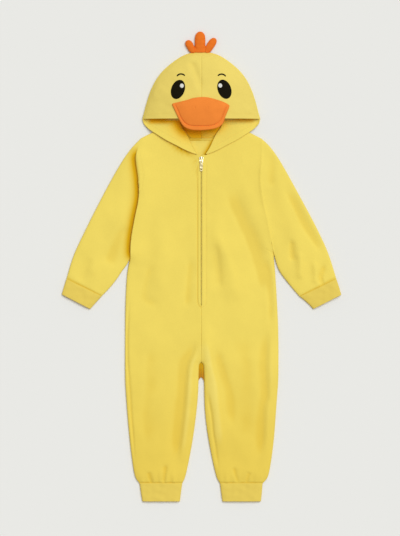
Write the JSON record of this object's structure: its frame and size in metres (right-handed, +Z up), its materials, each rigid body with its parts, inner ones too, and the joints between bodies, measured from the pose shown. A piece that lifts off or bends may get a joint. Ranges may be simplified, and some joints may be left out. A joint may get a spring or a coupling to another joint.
{
  "type": "hooded onesie pajama laid flat",
  "caption": "Child's one-piece pajama laid flat on its back: long sleeves, cuffed legs, front zip and a duck-face hood with a padded beak and a stuffed tuft.",
  "frame": {"origin": "on the surface it lies on, under the middle of its plan: x = 0 is the zip and the hood's centre seam", "axes": "+X to the wearer's left, +Y from the legs to the hood, +Z up from the surface through the back and front"},
  "size_m": [0.6008, 1.0102, 0.0495],
  "materials": {
    "fleece": "short brushed fleece, yellow",
    "cuff_band": "smooth folded band, deeper yellow",
    "beak_felt": "felt, orange",
    "tuft_felt": "felt, deep orange",
    "zip_tape": "woven tape and coil, yellow",
    "zip_metal": "pale polished metal"
  },
  "bodies": {
    "garment": {"back": "fleece", "front_right": "fleece", "front_left": "fleece", "sleeve_right": "fleece", "sleeve_left": "fleece", "sleeve_cuff_right": "cuff_band", "sleeve_cuff_left": "cuff_band", "leg_cuff_right": "cuff_band", "leg_cuff_left": "cuff_band", "hood_right": "fleece", "hood_left": "fleece", "beak": "beak_felt", "tuft_right": "tuft_felt", "tuft_middle": "tuft_felt", "tuft_left": "tuft_felt", "zip_tape": "zip_tape", "zip_slider": "zip_metal"},
    "pull_tab": {"zip_pull": "zip_metal"}
  },
  "joints": [
    {"name": "pull_swing", "type": "hinge", "parent": "garment", "child": "pull_tab", "pos_m": [0, 0.226, 0.0112], "axis": [-1, 0, 0], "range_deg": [0, 165]}
  ]
}
